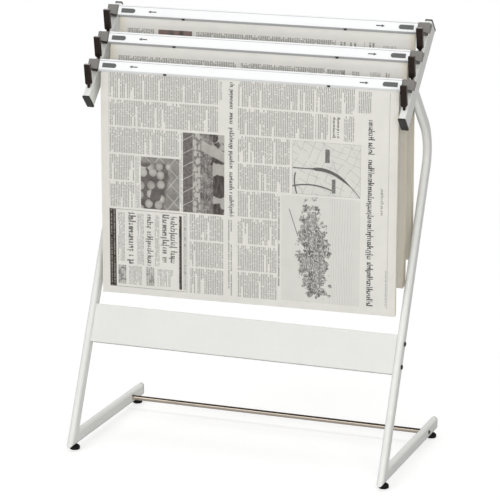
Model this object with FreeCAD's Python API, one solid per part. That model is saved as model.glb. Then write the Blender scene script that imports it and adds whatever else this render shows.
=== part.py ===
import FreeCAD, Part
import math
import os

# Newspaper rack: two bent-tube side frames tied by a panel and a rod, and three
# clamping newspaper holders resting in cradles on two sloping arms.
# X is the width (left is -X), Y runs from the front (-) to the back (+), Z is up,
# floor at 0. Millimetres and degrees throughout.

V = FreeCAD.Vector
SIDES = (("left", -1), ("right", 1))
FIT = 0.05               # radial running clearance

# Side frames
FRAME_X = 288.0          # centre plane of each side frame, from the middle
TUBE_W = 12.0            # flat-oval tube, across (X)
TUBE_D = 24.0            # flat-oval tube, deep
TUBE_T = 1.2             # wall
INNER_X = FRAME_X - TUBE_W / 2   # inner side of a frame
OUTER_X = FRAME_X + TUBE_W / 2   # outer side of a frame
RAIL_Z = 21.7            # centre height of the base rails
CORNER_Y = -145.0        # centreline corner of base rail and leg
CORNER_OVERRUN = 60.0    # tube run past the corner before it is mitred
RAIL_BACK_Y = 160.87     # back end of the base rail tube
LEG_LEAN = 25.0          # lower leg, back from vertical
BEND_R = 70.0            # centreline radius of the leg bend
LEG_ALONG = 73.9         # where the leg axis meets the arm, from the arm's front end
PLUG_T = 3.0             # head of the base rail end plug
PLUG_ROUND = 1.8
PLUG_SPIGOT = 10.0       # plug length inside the tube

# Arms
ARM_SLOPE = 44.0         # up from horizontal, towards the back
ARM_Y0, ARM_Z0 = -64.3, 623.0   # upper front edge of the arm, caps included
ARM_L = 210.5            # arm length with both caps
ARM_H = 30.0
ARM_W = 12.0
ARM_T = 1.2              # wall
ARM_ROUND = 1.6          # long outer edges
ARM_INNER_ROUND = 0.5
CAP_T = 3.0              # thickness of an arm cap rim
CAP_OVER = 0.6           # how far a cap stands proud of the arm all round
CAP_CHAMFER = 0.7
CAP_SPIGOT = 9.0         # cap length inside the arm
SPIGOT_FIT = 0.05        # gap all round the plug and cap spigots

# Panel and its bolts
PANEL_Z = 212.2          # mid height of the panel
PANEL_H = 69.0
PANEL_T = 1.4
PANEL_OFF = 5.5          # front face ahead of the leg centreline, square to the leg
PANEL_FLANGE = 12.0
PANEL_END = 15.0         # depth of the end plates
PANEL_RELIEF = 3.0       # flanges and end plates both stop this short of the corners
PANEL_ROUND = 1.2
BOLT_PITCH = 40.0
BOLT_BACK = 1.2          # bolts behind the leg centreline, square to the leg
BOLT_R = 2.5
NUT_R = 4.6              # to the corners of the hexagon
NUT_T = 4.0
THREAD_FIT = 0.02

# Rod
ROD_Y = 109.0
ROD_R = 4.5
ROD_SCREW_R = 2.0

# Feet
FOOT_Y = (("front", -137.0), ("rear", 145.0))
FOOT_R = 9.0
FOOT_H = 7.5
STUD_R = 3.0
STUD_TOP = 14.0          # above the foot pad
INSERT_R = 4.0

# Holders, in a frame with u up the front face and v square to it, into the holder
PITCH = 60.0             # along the arm
HOLDER_COUNT = 3
HOLD_LEAN = 28.4         # face, back from vertical
HOLD_Y0, HOLD_Z0 = -33.0, 668.3   # lower front edge of the first holder's face
FACE_H = 19.2
FACE_T = 1.8
RAIL_HALF = 276.6        # half length of the face rail
CAVITY_U0, CAVITY_U1, CAVITY_BACK = 2.6, 17.4, 5.6   # hollow of the face rail
NECK_FIT = 0.1           # gap round the end block's neck in that hollow
BLOCK_IN, BLOCK_OUT = 278.8, 298.6
PIN_U, PIN_V = 14.0, 10.3
PIN_R = 1.5
BEAD_R = 2.9
JAW_HALF = RAIL_HALF - 1.2
CLAMP_U0, CLAMP_U1 = -3.0, 1.0    # clamped strip, up the face
LIP_BACK = 4.0           # back of the rail's lip, front of the paper
GRIP_FRONT = 5.2         # front of the grip strip, back of the paper
GRIP_BACK = 6.7          # back of the grip strip, front of the jaw foot

# Push buttons
BUTTON_IN, BUTTON_OUT = 243.8, 270.2
BUTTON_U0, BUTTON_U1 = 3.8, 11.8
BUTTON_MID = (BUTTON_U0 + BUTTON_U1) / 2
BUTTON_R = (BUTTON_U1 - BUTTON_U0) / 2
BUTTON_X = BUTTON_IN + BUTTON_R   # centre of the round inner end
BUTTON_FRONT, BUTTON_BACK = -0.25, 2.2
BUTTON_FIT = 0.1
GROOVE_X, GROOVE_PITCH, GROOVE_COUNT = BUTTON_IN + 6.5, 3.0, 6
STEM_X, STEM_U, STEM_R = 255.0, 7.8, 1.5

# Cradles
CRADLE_W = 11.0
POST_T = 6.0
POST_TILT = 8.0          # post, forward from vertical
POST_Y = -48.2           # foot of the post on the first cradle
POST_L0, POST_L1 = 4.5, 41.4      # start and end of the post along its axis
POST_CHAMFER = 2.2
RIB_OFFSETS = (-3.4, 0.0, 3.4)    # across the front of the post
RIB_W = 1.4
RIB_PROUD = 0.6
NUB_HALF_D, NUB_HALF_W = 2.2, 2.0
FLOOR_DROP = 15.5        # cradle floor, down to the back
FLOOR_T = 3.5
FLOOR_GAP = 0.02         # between the floor and the holder
PAD_T = 2.0
PAD_A0, PAD_A1 = 56.0, 77.0       # first cradle's pad, from the arm's front end
SCREW_A = 71.0           # first cradle's screw, from the arm's front end
SCREW_R = 1.5
SCREW_TIP = 8.0          # depth of the screw tip below the arm's upper face
SINK_R, SINK_H = 3.0, 1.45        # countersink
HEAD_R, HEAD_H = 2.9, 1.4         # screw head

# Newspapers
PAPER_W = 546.0
PAPER_X = 1.0            # centre
PAPER_BOTTOM = 271.0     # lower edge of the first newspaper


class Frame:
    """Axes in the YZ plane: `along` lies at `angle` from +Y towards +Z, and
    `across` is a quarter turn from it, the same way round (turn 1) or back (-1)."""

    def __init__(self, origin, angle, turn=1):
        angle = math.radians(angle)
        self.origin = origin
        self.along = V(0, math.cos(angle), math.sin(angle))
        self.across = V(0, -turn * self.along.z, turn * self.along.y)

    def at(self, a, n, x=0.0):
        return self.origin + self.along * a + self.across * n + V(x, 0, 0)

    def along_of(self, point):
        return (point - self.origin).dot(self.along)

    def across_of(self, point):
        return (point - self.origin).dot(self.across)

    def prism(self, outline, x0, x1):
        return prism([self.at(a, n) for a, n in outline], x0, x1)

    def block(self, a0, a1, n0, n1, x0, x1):
        return self.prism([(a0, n0), (a1, n0), (a1, n1), (a0, n1)], x0, x1)

    def cylinder(self, radius, x, a, n0, n1):
        """Cylinder lying in the `across` direction."""
        return Part.makeCylinder(radius, n1 - n0, self.at(a, n0, x), self.across)

    def cone(self, radius0, radius1, x, a, n0, n1):
        return Part.makeCone(radius0, radius1, n1 - n0, self.at(a, n0, x), self.across)


def prism(points, x0, x1):
    """Closed outline of points, taken in YZ, drawn out along X."""
    x0, x1 = min(x0, x1), max(x0, x1)
    corners = [V(x0, p.y, p.z) for p in points]
    return Part.Face(Part.makePolygon(corners + corners[:1])).extrude(V(x1 - x0, 0, 0))


def x_cylinder(radius, centre, x0, x1):
    direction = V(1 if x1 > x0 else -1, 0, 0)
    return Part.makeCylinder(radius, abs(x1 - x0), V(x0, centre.y, centre.z), direction)


def z_cylinder(radius, x, y, z0, z1):
    return Part.makeCylinder(radius, z1 - z0, V(x, y, z0), V(0, 0, 1))


def hex_prism(radius, centre, x0, x1):
    corners = []
    for i in range(6):
        turn = math.radians(60 * i)
        corners.append(V(x0, centre.y + radius * math.cos(turn), centre.z + radius * math.sin(turn)))
    return Part.Face(Part.makePolygon(corners + corners[:1])).extrude(V(x1 - x0, 0, 0))


def fuse(shapes):
    return shapes[0].multiFuse(shapes[1:]).removeSplitter()


def edges_in_plane(shape, axis, value):
    """Edges lying wholly in the plane axis = value."""
    return [e for e in shape.Edges
            if abs(getattr(e.BoundBox, axis + "Min") - value) < 1e-4
            and abs(getattr(e.BoundBox, axis + "Max") - value) < 1e-4]


def edges_measuring(shape, measure, value):
    """Edges whose end points all give `value` when measured."""
    return [e for e in shape.Edges
            if all(abs(measure(v.Point) - value) < 1e-3 for v in e.Vertexes)]


def edge_direction(edge):
    return (edge.Vertexes[1].Point - edge.Vertexes[0].Point).normalize()


def save(name, shape):
    shape.exportStep("parts/%s.step" % name)


# across points up and forward for both
ARM = Frame(V(0, ARM_Y0, ARM_Z0), ARM_SLOPE)
LEG = Frame(V(0, CORNER_Y, RAIL_Z), 90 - LEG_LEAN)

PANEL_MID = (PANEL_Z - RAIL_Z) / LEG.along.z     # up the leg from the corner
BOLT_POINTS = [LEG.at(PANEL_MID + k * BOLT_PITCH, -BOLT_BACK) for k in (-0.5, 0.5)]
ROD_CENTRE = V(0, ROD_Y, RAIL_Z)


# ---------------------------------------------------------------------------
# Side frames
# ---------------------------------------------------------------------------

def oval_face(centre, along, inset):
    """Tube section, shrunk by `inset` all round, square to `along`."""
    radius = TUBE_W / 2 - inset
    flat = TUBE_D / 2 - inset - radius
    side = V(radius, 0, 0)
    deep = V(0, -along.z, along.y)
    upper_right = centre + side + deep * flat
    upper_left = centre - side + deep * flat
    lower_left = centre - side - deep * flat
    lower_right = centre + side - deep * flat
    top = centre + deep * (flat + radius)
    bottom = centre - deep * (flat + radius)
    return Part.Face(Part.Wire([
        Part.LineSegment(lower_right, upper_right).toShape(),
        Part.Arc(upper_right, top, upper_left).toShape(),
        Part.LineSegment(upper_left, lower_left).toShape(),
        Part.Arc(lower_left, bottom, lower_right).toShape()]))


def leg_solid(x, inset):
    """Lower leg, bend, and upper leg running square to the arm."""
    sweep = LEG_LEAN + ARM_SLOPE
    top = ARM.at(LEG_ALONG, -ARM_H, x)
    # where the two straight centrelines cross, up the lower leg
    crossing = LEG.along_of(top) - LEG.across_of(top) / math.tan(math.radians(sweep))
    set_back = BEND_R * math.tan(math.radians(sweep / 2))
    start = LEG.at(-CORNER_OVERRUN, 0, x)
    bend_start = LEG.at(crossing - set_back, 0, x)
    bend_centre = LEG.at(crossing - set_back, BEND_R, x)
    bend_end = LEG.at(crossing, 0, x) + ARM.across * set_back
    low = oval_face(start, LEG.along, inset).extrude(bend_start - start)
    bend = oval_face(bend_start, LEG.along, inset).revolve(bend_centre, V(1, 0, 0), sweep)
    high = oval_face(bend_end, ARM.across, inset).extrude(top - bend_end)
    return fuse([low, bend, high])


def level_tube(x, y0, y1, inset):
    return oval_face(V(x, y0, RAIL_Z), V(0, 1, 0), inset).extrude(V(0, y1 - y0, 0))


def mitre_side(x, turn):
    """Block above (turn 1) or below (-1) the mitre plane at the front corner."""
    mitre = Frame(LEG.origin, (90 - LEG_LEAN) / 2, turn)
    return mitre.block(-120, 900, 0, 900, x - 30, x + 30)


def leg_tube(x):
    leg = leg_solid(x, 0).cut(leg_solid(x, TUBE_T)).common(mitre_side(x, 1))
    for point in BOLT_POINTS:
        leg = leg.cut(x_cylinder(BOLT_R + FIT, point, x - 20, x + 20))
    # the front foot's insert also passes through the foot of the leg
    return leg.cut(z_cylinder(INSERT_R + FIT, x, FOOT_Y[0][1], 0, RAIL_Z + 7.3))


def base_rail(x):
    start = CORNER_Y - CORNER_OVERRUN
    rail = level_tube(x, start, RAIL_BACK_Y, 0)
    rail = rail.cut(level_tube(x, start, RAIL_BACK_Y + 5, TUBE_T))
    rail = rail.common(mitre_side(x, -1))
    rail = rail.cut(x_cylinder(ROD_SCREW_R + FIT, ROD_CENTRE, x - 20, x + 20))
    for _, y in FOOT_Y:
        rail = rail.cut(z_cylinder(INSERT_R + FIT, x, y, 0, RAIL_Z - 0.2))
    return rail


def base_plug(x):
    """Rounded head plus a spigot inside the tube."""
    back = RAIL_BACK_Y + PLUG_T
    head = level_tube(x, RAIL_BACK_Y, back, 0)
    head = head.makeFillet(PLUG_ROUND, edges_in_plane(head, "Y", back))
    spigot = level_tube(x, RAIL_BACK_Y - PLUG_SPIGOT, RAIL_BACK_Y + 0.5, TUBE_T + SPIGOT_FIT)
    return fuse([head, spigot])


def arm_box(x, side_inset, edge_inset, end0, end1, rounding):
    """Arm section, inset from its sides and from its top and bottom,
    with the long edges rounded."""
    a0, a1 = sorted((end0, end1))
    half = ARM_W / 2 - side_inset
    box = ARM.block(a0, a1, -edge_inset, -ARM_H + edge_inset, x - half, x + half)
    if rounding > 0:
        long_edges = [e for e in box.Edges
                      if abs(abs(edge_direction(e).dot(ARM.along)) - 1) < 1e-4]
        box = box.makeFillet(rounding, long_edges)
    return box


def arm_tube(x):
    arm = arm_box(x, 0, 0, CAP_T, ARM_L - CAP_T, ARM_ROUND)
    arm = arm.cut(arm_box(x, ARM_T, ARM_T, 0, ARM_L, ARM_INNER_ROUND))
    for k in range(HOLDER_COUNT):
        arm = arm.cut(ARM.cylinder(SCREW_R + FIT, x, SCREW_A + k * PITCH, -7, 5))
    return arm


def arm_cap(x, end, inward):
    """Cap with its outer face at `end` along the arm; `inward` is 1 or -1."""
    def reach(distance):
        return end + inward * distance

    rim = arm_box(x, -CAP_OVER, -CAP_OVER, end, reach(CAP_T), ARM_ROUND)
    rim = rim.makeChamfer(CAP_CHAMFER, edges_measuring(rim, ARM.along_of, end))
    inset = ARM_T + SPIGOT_FIT
    spigot = arm_box(x, inset, inset, reach(CAP_T), reach(CAP_T + CAP_SPIGOT), ARM_INNER_ROUND)
    recess = arm_box(x, ARM_T + 1.3, ARM_T + 1.5,
                     reach(CAP_T + 1.0), reach(CAP_T + CAP_SPIGOT + 0.5), 0)
    return fuse([rim, spigot]).cut(recess)


# ---------------------------------------------------------------------------
# Panel, rod and their fasteners
# ---------------------------------------------------------------------------

def cross_panel():
    """Sheet across the legs with flanges above and below and a plate at each end."""
    low, high = PANEL_MID - PANEL_H / 2, PANEL_MID + PANEL_H / 2
    front = PANEL_OFF
    flange_back = front - PANEL_FLANGE
    flange_x = INNER_X - PANEL_RELIEF
    sheets = [
        LEG.block(low, high, front, front - PANEL_T, -INNER_X, INNER_X),
        LEG.block(high, high - PANEL_T, front, flange_back, -flange_x, flange_x),
        LEG.block(low, low + PANEL_T, front, flange_back, -flange_x, flange_x)]
    for _, s in SIDES:
        sheets.append(LEG.block(low + PANEL_RELIEF, high - PANEL_RELIEF,
                                front, front - PANEL_END,
                                s * INNER_X, s * (INNER_X - PANEL_T)))
    panel = fuse(sheets)
    bends = [e for e in edges_measuring(panel, LEG.across_of, front) if e.Length > 500]
    panel = panel.makeFillet(PANEL_ROUND, bends)
    for point in BOLT_POINTS:
        for _, s in SIDES:
            panel = panel.cut(x_cylinder(BOLT_R + FIT, point,
                                         s * (INNER_X + 2), s * (INNER_X - 6)))
    return panel


def domed_screw(s, centre, shank_r, shank_l, head_r, head_h, rounding, socket_r, socket_floor):
    """Screw entering a frame's outer side, with a rounded head and hexagon socket."""
    top = s * (OUTER_X + head_h)
    shank = x_cylinder(shank_r, centre, s * OUTER_X, s * (OUTER_X - shank_l))
    head = x_cylinder(head_r, centre, s * OUTER_X, top)
    head = head.makeFillet(rounding, edges_in_plane(head, "X", top))
    floor = OUTER_X + socket_floor
    return fuse([shank, head]).cut(hex_prism(socket_r, centre, s * floor, s * (floor + 3)))


def panel_bolt(s, centre):
    return domed_screw(s, centre, shank_r=BOLT_R, shank_l=TUBE_W + PANEL_T + 5.0,
                       head_r=4.3, head_h=2.4, rounding=2.0,
                       socket_r=1.45, socket_floor=1.0)


def panel_nut(s, centre):
    seat = INNER_X - PANEL_T
    nut = hex_prism(NUT_R, centre, s * seat, s * (seat - NUT_T))
    return nut.cut(x_cylinder(BOLT_R + THREAD_FIT, centre, s * (seat + 1), s * (seat - 7)))


def cross_rod():
    rod = x_cylinder(ROD_R, ROD_CENTRE, -INNER_X, INNER_X)
    for _, s in SIDES:
        rod = rod.cut(x_cylinder(ROD_SCREW_R + THREAD_FIT, ROD_CENTRE,
                                 s * (INNER_X + 1), s * (INNER_X - 15)))
    return rod


def rod_screw(s):
    return domed_screw(s, ROD_CENTRE, shank_r=ROD_SCREW_R, shank_l=TUBE_W + 12.0,
                       head_r=3.4, head_h=2.0, rounding=1.4,
                       socket_r=1.4, socket_floor=0.8)


# ---------------------------------------------------------------------------
# Feet
# ---------------------------------------------------------------------------

def foot(x, y):
    pad = z_cylinder(FOOT_R, x, y, 0, FOOT_H)
    pad = pad.makeChamfer(1.0, edges_in_plane(pad, "Z", 0))
    pad = pad.makeChamfer(2.0, edges_in_plane(pad, "Z", FOOT_H))
    return fuse([pad, z_cylinder(STUD_R, x, y, FOOT_H - 1, FOOT_H + STUD_TOP)])


def foot_insert(x, y):
    sleeve = z_cylinder(INSERT_R, x, y, RAIL_Z - 11.5, RAIL_Z - 0.5)
    return sleeve.cut(z_cylinder(STUD_R + FIT, x, y, 5, 35))


# ---------------------------------------------------------------------------
# Cradles on the arms
# ---------------------------------------------------------------------------

def arm_step(k):
    """The arm's frame, moved along to cradle and holder k."""
    return Frame(ARM.at(k * PITCH, 0), ARM_SLOPE)


def holder_origin(k):
    return V(0, HOLD_Y0, HOLD_Z0) + ARM.along * (k * PITCH)


def floor_frame(k):
    """Along the cradle floor, back and down, from the holder's lower front edge."""
    return Frame(holder_origin(k), -FLOOR_DROP)


def cradle(k, x):
    arm = arm_step(k)
    left, right = x - CRADLE_W / 2, x + CRADLE_W / 2
    # post axis: up and forward, across to the back
    post_foot = arm.at((POST_Y - ARM_Y0) / ARM.along.y, 0)
    axis = Frame(post_foot, 90 + POST_TILT, -1)
    front, back = -POST_T / 2, POST_T / 2

    # only the foot edges running front to back are chamfered
    post = axis.block(POST_L0, POST_L1, front, back, left, right)
    foot_edges = [e for e in edges_measuring(post, axis.along_of, POST_L0)
                  if abs(edge_direction(e).x) < 1e-6]
    post = post.makeChamfer(POST_CHAMFER, foot_edges)
    ribs = [axis.block(POST_L0 + 4, POST_L1 - 2, front - RIB_PROUD, 0,
                       x + offset - RIB_W / 2, x + offset + RIB_W / 2)
            for offset in RIB_OFFSETS]
    nub = axis.block(-6, POST_L0 + 1, -NUB_HALF_D, NUB_HALF_D, x - NUB_HALF_W, x + NUB_HALF_W)
    floor = floor_frame(k).block(-18.5, 16, -FLOOR_GAP, -FLOOR_GAP - FLOOR_T, left, right)
    pad = arm.block(PAD_A0, PAD_A1, 0, PAD_T, left, right)
    above_arm = ARM.block(-100, 400, 0, 300, x - 40, x + 40)
    body = fuse([post, nub, floor, pad] + ribs).common(above_arm)

    # countersunk hole square to the arm
    body = body.cut(arm.cylinder(SCREW_R + FIT, x, SCREW_A, -2, 6))
    body = body.cut(arm.cone(SCREW_R + FIT, SINK_R, x, SCREW_A, PAD_T - SINK_H, PAD_T))
    return body.removeSplitter()


def cradle_screw(k, x):
    """Countersunk screw with a round recess in its head."""
    arm = arm_step(k)
    shank = arm.cylinder(SCREW_R, x, SCREW_A, -SCREW_TIP, PAD_T - HEAD_H)
    head = arm.cone(SCREW_R, HEAD_R, x, SCREW_A, PAD_T - HEAD_H, PAD_T)
    return fuse([shank, head]).cut(arm.cylinder(0.9, x, SCREW_A, PAD_T - 0.7, PAD_T + 2.3))


# ---------------------------------------------------------------------------
# Holders
# ---------------------------------------------------------------------------

# (u, v) round the face rail: face with a small groove, flange above, lip below
RAIL_OUTLINE = [
    (0.6, 0.0), (15.6, 0.0), (15.9, 0.35), (16.2, 0.0), (18.6, 0.0),
    (FACE_H, 0.6), (FACE_H, 13.0), (17.6, 13.0), (17.6, 7.0), (1.2, 7.0),
    (1.2, LIP_BACK), (CLAMP_U0, LIP_BACK), (CLAMP_U0, 2.6), (-0.2, 0.4)]

# (drop below the holder's lower front edge, front y, back y) down the newspaper,
# y measured from that edge
PAPER_STATIONS = [
    (9.0, 0.6, 1.9),
    (40.0, -0.6, 2.6),
    (150.0, -2.6, 3.8),
    (290.0, -4.8, 4.0),
    (HOLD_Z0 - PAPER_BOTTOM, -5.6, 3.6)]


def face_rail(holder):
    """Box section with a lip below and a flange above."""
    rail = holder.prism(RAIL_OUTLINE, -RAIL_HALF, RAIL_HALF)
    rail = rail.cut(holder.block(CAVITY_U0, CAVITY_U1, FACE_T, CAVITY_BACK,
                                 -RAIL_HALF - 1, RAIL_HALF + 1))
    for _, s in SIDES:
        # button opening: square outward, round inward
        rail = rail.cut(holder.block(BUTTON_U0 - BUTTON_FIT, BUTTON_U1 + BUTTON_FIT,
                                     -1, FACE_T + 0.5,
                                     s * BUTTON_X, s * (BUTTON_OUT + BUTTON_FIT)))
        rail = rail.cut(holder.cylinder(BUTTON_R + BUTTON_FIT, s * BUTTON_X, BUTTON_MID,
                                        -1, FACE_T + 0.5))
        rail = rail.cut(holder.cylinder(STEM_R + 0.08, s * STEM_X, STEM_U, 5.0, 8.0))
    return rail.removeSplitter()


def jaw(holder):
    """Hinge bead, plate and foot."""
    pin = holder.at(PIN_U, PIN_V)
    bead = x_cylinder(BEAD_R, pin, -JAW_HALF, JAW_HALF)
    plate = holder.block(CLAMP_U0, 13.0, 8.6, 10.0, -JAW_HALF, JAW_HALF)
    jaw_foot = holder.block(CLAMP_U0, CLAMP_U1, GRIP_BACK, 9.0, -JAW_HALF, JAW_HALF)
    bore = x_cylinder(PIN_R + FIT, pin, -JAW_HALF - 1, JAW_HALF + 1)
    return fuse([bead, plate, jaw_foot]).cut(bore)


def hinge_pin(holder):
    half = BLOCK_IN + 5.0
    return x_cylinder(PIN_R, holder.at(PIN_U, PIN_V), -half, half)


def grip_strip(holder):
    """Rubber strip with three shallow grooves along its front."""
    outline = [(CLAMP_U0, GRIP_BACK), (CLAMP_U0, GRIP_FRONT)]
    for u in (-2.0, -0.9, 0.2):
        outline += [(u - 0.2, GRIP_FRONT), (u, GRIP_FRONT + 0.3), (u + 0.2, GRIP_FRONT)]
    outline += [(CLAMP_U1, GRIP_FRONT), (CLAMP_U1, GRIP_BACK)]
    return holder.prism(outline, -JAW_HALF + 1, JAW_HALF - 1)


def end_block(holder, k, s):
    """Block on the cradle floor, with a neck and tongue inside the face rail."""
    floor = floor_frame(k)
    outline = [
        floor.at(0.35, 0), holder.at(2.0, 0.35), holder.at(18.4, 0.35), holder.at(18.4, 9.0),
        holder.origin + V(0, 20.3, 11.6), arm_step(k).at(74.2, 2.75), floor.at(9.4, 0)]
    body = prism(outline, s * BLOCK_IN, s * BLOCK_OUT)
    outer_edges = edges_in_plane(body, "X", s * BLOCK_OUT)
    # guards against the rounding failing on the short sides of the outline
    try:
        body = body.makeFillet(2.4, outer_edges)
    except Exception:
        body = body.makeChamfer(1.6, outer_edges)
    v0, v1 = FACE_T + NECK_FIT, CAVITY_BACK - NECK_FIT
    u1 = CAVITY_U1 - NECK_FIT
    neck = holder.block(CAVITY_U0 + NECK_FIT, u1, v0, v1, s * 271.2, s * (BLOCK_IN + 1.0))
    tongue = holder.block(12.7, u1, v0, v1, s * 258.0, s * 272.0)
    pin = holder.at(PIN_U, PIN_V)
    boss = x_cylinder(2.8, pin, s * (RAIL_HALF - 0.6), s * (BLOCK_IN + 1.0))
    bore = x_cylinder(PIN_R + FIT, pin, s * (BLOCK_IN - 8.0), s * (BLOCK_IN + 5.2))
    return fuse([body, neck, tongue, boss]).cut(bore)


def button(holder, s):
    """Push button: key with a round inner end, retaining flange and stem."""
    key = holder.block(BUTTON_U0, BUTTON_U1, BUTTON_FRONT, BUTTON_BACK,
                       s * BUTTON_X, s * BUTTON_OUT)
    round_end = holder.cylinder(BUTTON_R, s * BUTTON_X, BUTTON_MID, BUTTON_FRONT, BUTTON_BACK)
    flange = holder.block(BUTTON_U0 - 0.9, BUTTON_U1 + 0.7, FACE_T + 0.05, 3.2,
                          s * (BUTTON_IN - 2.0), s * (BUTTON_OUT + 0.8))
    stem = holder.cylinder(STEM_R, s * STEM_X, STEM_U, 2.5, 8.3)
    shape = fuse([key, round_end, flange, stem])
    for i in range(GROOVE_COUNT):
        x = GROOVE_X + i * GROOVE_PITCH
        shape = shape.cut(holder.block(BUTTON_U0 + 1.2, BUTTON_U1 - 1.2, -0.5, 0.1,
                                       s * (x - 0.5), s * (x + 0.5)))
    return shape


def newspaper(holder):
    """Upper edge clamped, the rest hanging and widening towards the bottom."""
    front = [holder.origin + V(0, y, -drop) for drop, y, _ in PAPER_STATIONS]
    back = [holder.origin + V(0, y, -drop) for drop, _, y in reversed(PAPER_STATIONS)]
    outline = [holder.at(CLAMP_U1, LIP_BACK), holder.at(CLAMP_U0, LIP_BACK)]
    outline += front + back
    outline += [holder.at(CLAMP_U0, GRIP_FRONT), holder.at(CLAMP_U1, GRIP_FRONT)]
    return prism(outline, PAPER_X - PAPER_W / 2, PAPER_X + PAPER_W / 2)


# ---------------------------------------------------------------------------
# Build and export
# ---------------------------------------------------------------------------

os.makedirs("parts", exist_ok=True)

bolts, nuts, rod_screws, inserts, cradle_screws = [], [], [], [], []

for side, s in SIDES:
    x = s * FRAME_X
    save("leg_tube_" + side, leg_tube(x))
    save("base_rail_" + side, base_rail(x))
    save("base_plug_" + side, base_plug(x))
    save("arm_" + side, arm_tube(x))
    save("arm_cap_front_" + side, arm_cap(x, 0.0, 1))
    save("arm_cap_rear_" + side, arm_cap(x, ARM_L, -1))
    for point in BOLT_POINTS:
        bolts.append(panel_bolt(s, point))
        nuts.append(panel_nut(s, point))
    rod_screws.append(rod_screw(s))
    for end, y in FOOT_Y:
        save("foot_%s_%s" % (end, side), foot(x, y))
        inserts.append(foot_insert(x, y))

save("cross_panel", cross_panel())
save("cross_rod", cross_rod())

for k in range(HOLDER_COUNT):
    # u up the face, v back and down into the holder
    holder = Frame(holder_origin(k), 90 - HOLD_LEAN, -1)
    name = "holder_%d_" % (k + 1)
    save(name + "face_rail", face_rail(holder))
    save(name + "jaw", jaw(holder))
    save(name + "hinge_pin", hinge_pin(holder))
    save(name + "grip_strip", grip_strip(holder))
    save(name + "newspaper", newspaper(holder))
    for side, s in SIDES:
        save("cradle_%d_%s" % (k + 1, side), cradle(k, s * FRAME_X))
        cradle_screws.append(cradle_screw(k, s * FRAME_X))
        save(name + "end_block_" + side, end_block(holder, k, s))
        save(name + "button_" + side, button(holder, s))

save("panel_bolts", Part.makeCompound(bolts))
save("panel_nuts", Part.makeCompound(nuts))
save("rod_screws", Part.makeCompound(rod_screws))
save("foot_inserts", Part.makeCompound(inserts))
save("cradle_screws", Part.makeCompound(cradle_screws))
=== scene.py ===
"""A newspaper rack: three sloping white bars run along x, and each holds a hanging newspaper.

The front faces -y and z is up. Materials, page layouts and bar sections are worked out in
millimetres, and meshes are made in metres.
"""
import math
import random

import bmesh
import bpy
import numpy as np
from mathutils import Matrix, Vector, noise as mnoise


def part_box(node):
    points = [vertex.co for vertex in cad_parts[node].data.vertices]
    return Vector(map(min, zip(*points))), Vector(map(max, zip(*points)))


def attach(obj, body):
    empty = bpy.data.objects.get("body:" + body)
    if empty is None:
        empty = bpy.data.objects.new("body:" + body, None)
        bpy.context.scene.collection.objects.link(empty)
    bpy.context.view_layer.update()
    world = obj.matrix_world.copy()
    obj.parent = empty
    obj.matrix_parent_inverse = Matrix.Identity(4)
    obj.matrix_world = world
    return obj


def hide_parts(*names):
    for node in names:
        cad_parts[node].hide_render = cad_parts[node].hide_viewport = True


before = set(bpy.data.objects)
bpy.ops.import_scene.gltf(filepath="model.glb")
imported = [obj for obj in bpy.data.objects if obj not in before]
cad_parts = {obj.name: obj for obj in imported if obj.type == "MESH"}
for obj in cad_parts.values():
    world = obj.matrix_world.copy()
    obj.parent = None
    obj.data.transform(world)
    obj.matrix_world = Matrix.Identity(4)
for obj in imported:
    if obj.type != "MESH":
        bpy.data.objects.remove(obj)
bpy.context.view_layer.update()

SCENE = bpy.context.scene
MM = 0.001
HOLDERS = (1, 2, 3)

# Unit directions in the bar section, as (y, z): up the sloping face, and into the bar.
UP_Y, UP_Z = 0.4756, 0.8796
IN_Y, IN_Z = UP_Z, -UP_Y


def bar_origin(k):
    """(y, z) in mm of the lower front corner of bar k, worked out from the box of its rail."""
    low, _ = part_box("holder_%d_face_rail" % k)
    # the lowest z is at up -3, in 4; the lowest y is at up -0.2, in 0.4
    origin_z = low.z * 1000.0 - (UP_Z * -3.0 + IN_Z * 4.0)
    origin_y = low.y * 1000.0 - (UP_Y * -0.2 + IN_Y * 0.4)
    return origin_y, origin_z


ORIGIN = {k: bar_origin(k) for k in HOLDERS}


def add_object(name, data):
    obj = bpy.data.objects.new(name, data)
    SCENE.collection.objects.link(obj)
    return obj


# ------------------------------------------------------------- shader helpers
def srgb(*colour):
    """sRGB 0..255 to linear, with alpha."""
    out = []
    for c in colour:
        c = c / 255.0
        out.append(c / 12.92 if c <= 0.04045 else ((c + 0.055) / 1.055) ** 2.4)
    return tuple(out) + (1.0,)


def binary(operation, swapped=False):
    def method(self, other):
        operands = (other, self) if swapped else (self, other)
        return self.mat.math(operation, *operands)
    return method


def unary(operation):
    return lambda self: self.mat.math(operation, self)


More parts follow.
